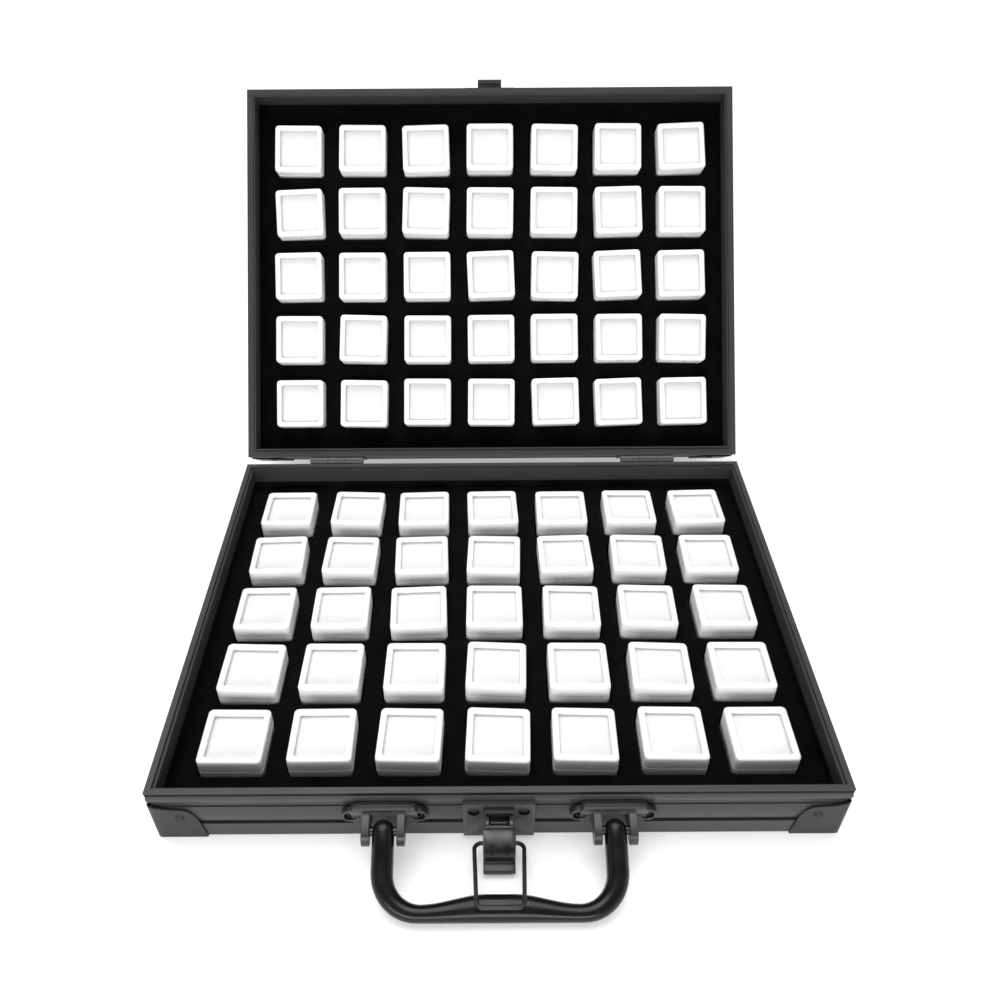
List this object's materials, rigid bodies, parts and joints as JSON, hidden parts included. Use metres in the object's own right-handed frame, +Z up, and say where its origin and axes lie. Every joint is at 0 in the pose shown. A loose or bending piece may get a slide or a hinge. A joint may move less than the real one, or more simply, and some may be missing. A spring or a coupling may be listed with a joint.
{
  "type": "sample display case",
  "caption": "Slim black aluminium-framed carry case, open, with foam inserts in base and lid holding small white windowed sample boxes, a front handle and a draw latch.",
  "frame": {"origin": "centre of the base's underside, on the surface that it rests on", "axes": "+Z up, +X to the right seen from the handle's side, -Y towards the handle, lid hinged at +Y"},
  "size_m": [0.3128, 0.4601, 0.2181],
  "materials": {
    "frame_black": "satin black anodised extrusion with fine lengthwise lines",
    "panel_black": "black textured laminate on board",
    "foam_black": "black flocked foam",
    "box_white": "white satin moulded plastic",
    "box_window": "clear window",
    "pad_white": "soft white foam pad",
    "guard_black": "black painted pressed steel",
    "steel_black": "glossy black painted steel",
    "rivet_dark": "black painted rivet head",
    "pin_steel": "dark steel pin",
    "handle_plastic": "black satin moulded plastic"
  },
  "bodies": {
    "base": {"base_rim_front": "frame_black", "base_rim_right": "frame_black", "base_rim_back": "frame_black", "base_rim_left": "frame_black", "base_edge_front": "frame_black", "base_edge_right": "frame_black", "base_edge_back": "frame_black", "base_edge_left": "frame_black", "base_side_panels": "panel_black", "base_bottom_panel": "panel_black", "base_foam_insert": "foam_black", "base_box_trays": "box_white", "base_box_lids": "box_white", "base_box_windows": "box_window", "base_box_pads": "pad_white", "base_corner_guards": "guard_black", "base_corner_rivets": "rivet_dark", "latch_plate": "steel_black", "latch_plate_rivets": "rivet_dark", "latch_lever_pin": "pin_steel", "handle_bracket_left": "handle_plastic", "handle_bracket_right": "handle_plastic", "handle_bracket_screws": "rivet_dark", "handle_pivot_pins": "pin_steel", "hinge_left_base_leaf": "steel_black", "hinge_right_base_leaf": "steel_black", "hinge_pins": "pin_steel", "hinge_base_rivets": "rivet_dark"},
    "handle": {"handle_grip": "handle_plastic"},
    "latch_lever": {"latch_lever": "steel_black"},
    "bail_pin": {"bail_pin": "pin_steel"},
    "latch_bail": {"latch_bail": "steel_black"},
    "sample_box": {"sample_box_tray": "box_white", "sample_box_pad": "pad_white"},
    "sample_lid": {"sample_box_lid": "box_white", "sample_box_window": "box_window"},
    "lid": {"lid_rim_front": "frame_black", "lid_rim_right": "frame_black", "lid_rim_back": "frame_black", "lid_rim_left": "frame_black", "lid_edge_front": "frame_black", "lid_edge_right": "frame_black", "lid_edge_back": "frame_black", "lid_edge_left": "frame_black", "lid_side_panels": "panel_black", "lid_top_panel": "panel_black", "lid_foam_insert": "foam_black", "lid_box_trays": "box_white", "lid_box_lids": "box_white", "lid_box_windows": "box_window", "lid_box_pads": "pad_white", "lid_corner_guards": "guard_black", "lid_corner_rivets": "rivet_dark", "strike_plate": "steel_black", "strike_rivets": "rivet_dark", "hinge_left_lid_leaf": "steel_black", "hinge_right_lid_leaf": "steel_black", "hinge_lid_rivets": "rivet_dark"}
  },
  "joints": [
    {"name": "lid_hinge", "type": "hinge", "parent": "base", "child": "lid", "pos_m": [0, 0.1202, 0.0336], "axis": [-1, 0, 0], "range_deg": [-130, 0]},
    {"name": "handle_pivot", "type": "hinge", "parent": "base", "child": "handle", "pos_m": [0, -0.1275, 0.0195], "axis": [1, 0, 0], "range_deg": [-80, 65]},
    {"name": "latch_lever_pivot", "type": "hinge", "parent": "base", "child": "latch_lever", "pos_m": [0, -0.125, 0.0195], "axis": [-1, 0, 0], "range_deg": [0, 100]},
    {"name": "bail_pin_turn", "type": "hinge", "parent": "latch_lever", "child": "bail_pin", "pos_m": [0, -0.12714, 0.0086], "axis": [1, 0, 0], "range_deg": [-80, 65]},
    {"name": "bail_swing", "type": "hinge", "parent": "bail_pin", "child": "latch_bail", "pos_m": [0, -0.12714, 0.0086], "axis": [-1, 0, 0], "range_deg": [0, 90]},
    {"name": "sample_box_lift", "type": "slide", "parent": "base", "child": "sample_box", "axis": [0, 0, 1], "range_m": [0, 0.03]},
    {"name": "sample_lid_lift", "type": "slide", "parent": "sample_box", "child": "sample_lid", "axis": [0, 0, 1], "range_m": [0, 0.02]}
  ],
  "couplings": [
    {"joint": "bail_pin_turn", "follows": "handle_pivot", "ratio": 1}
  ]
}
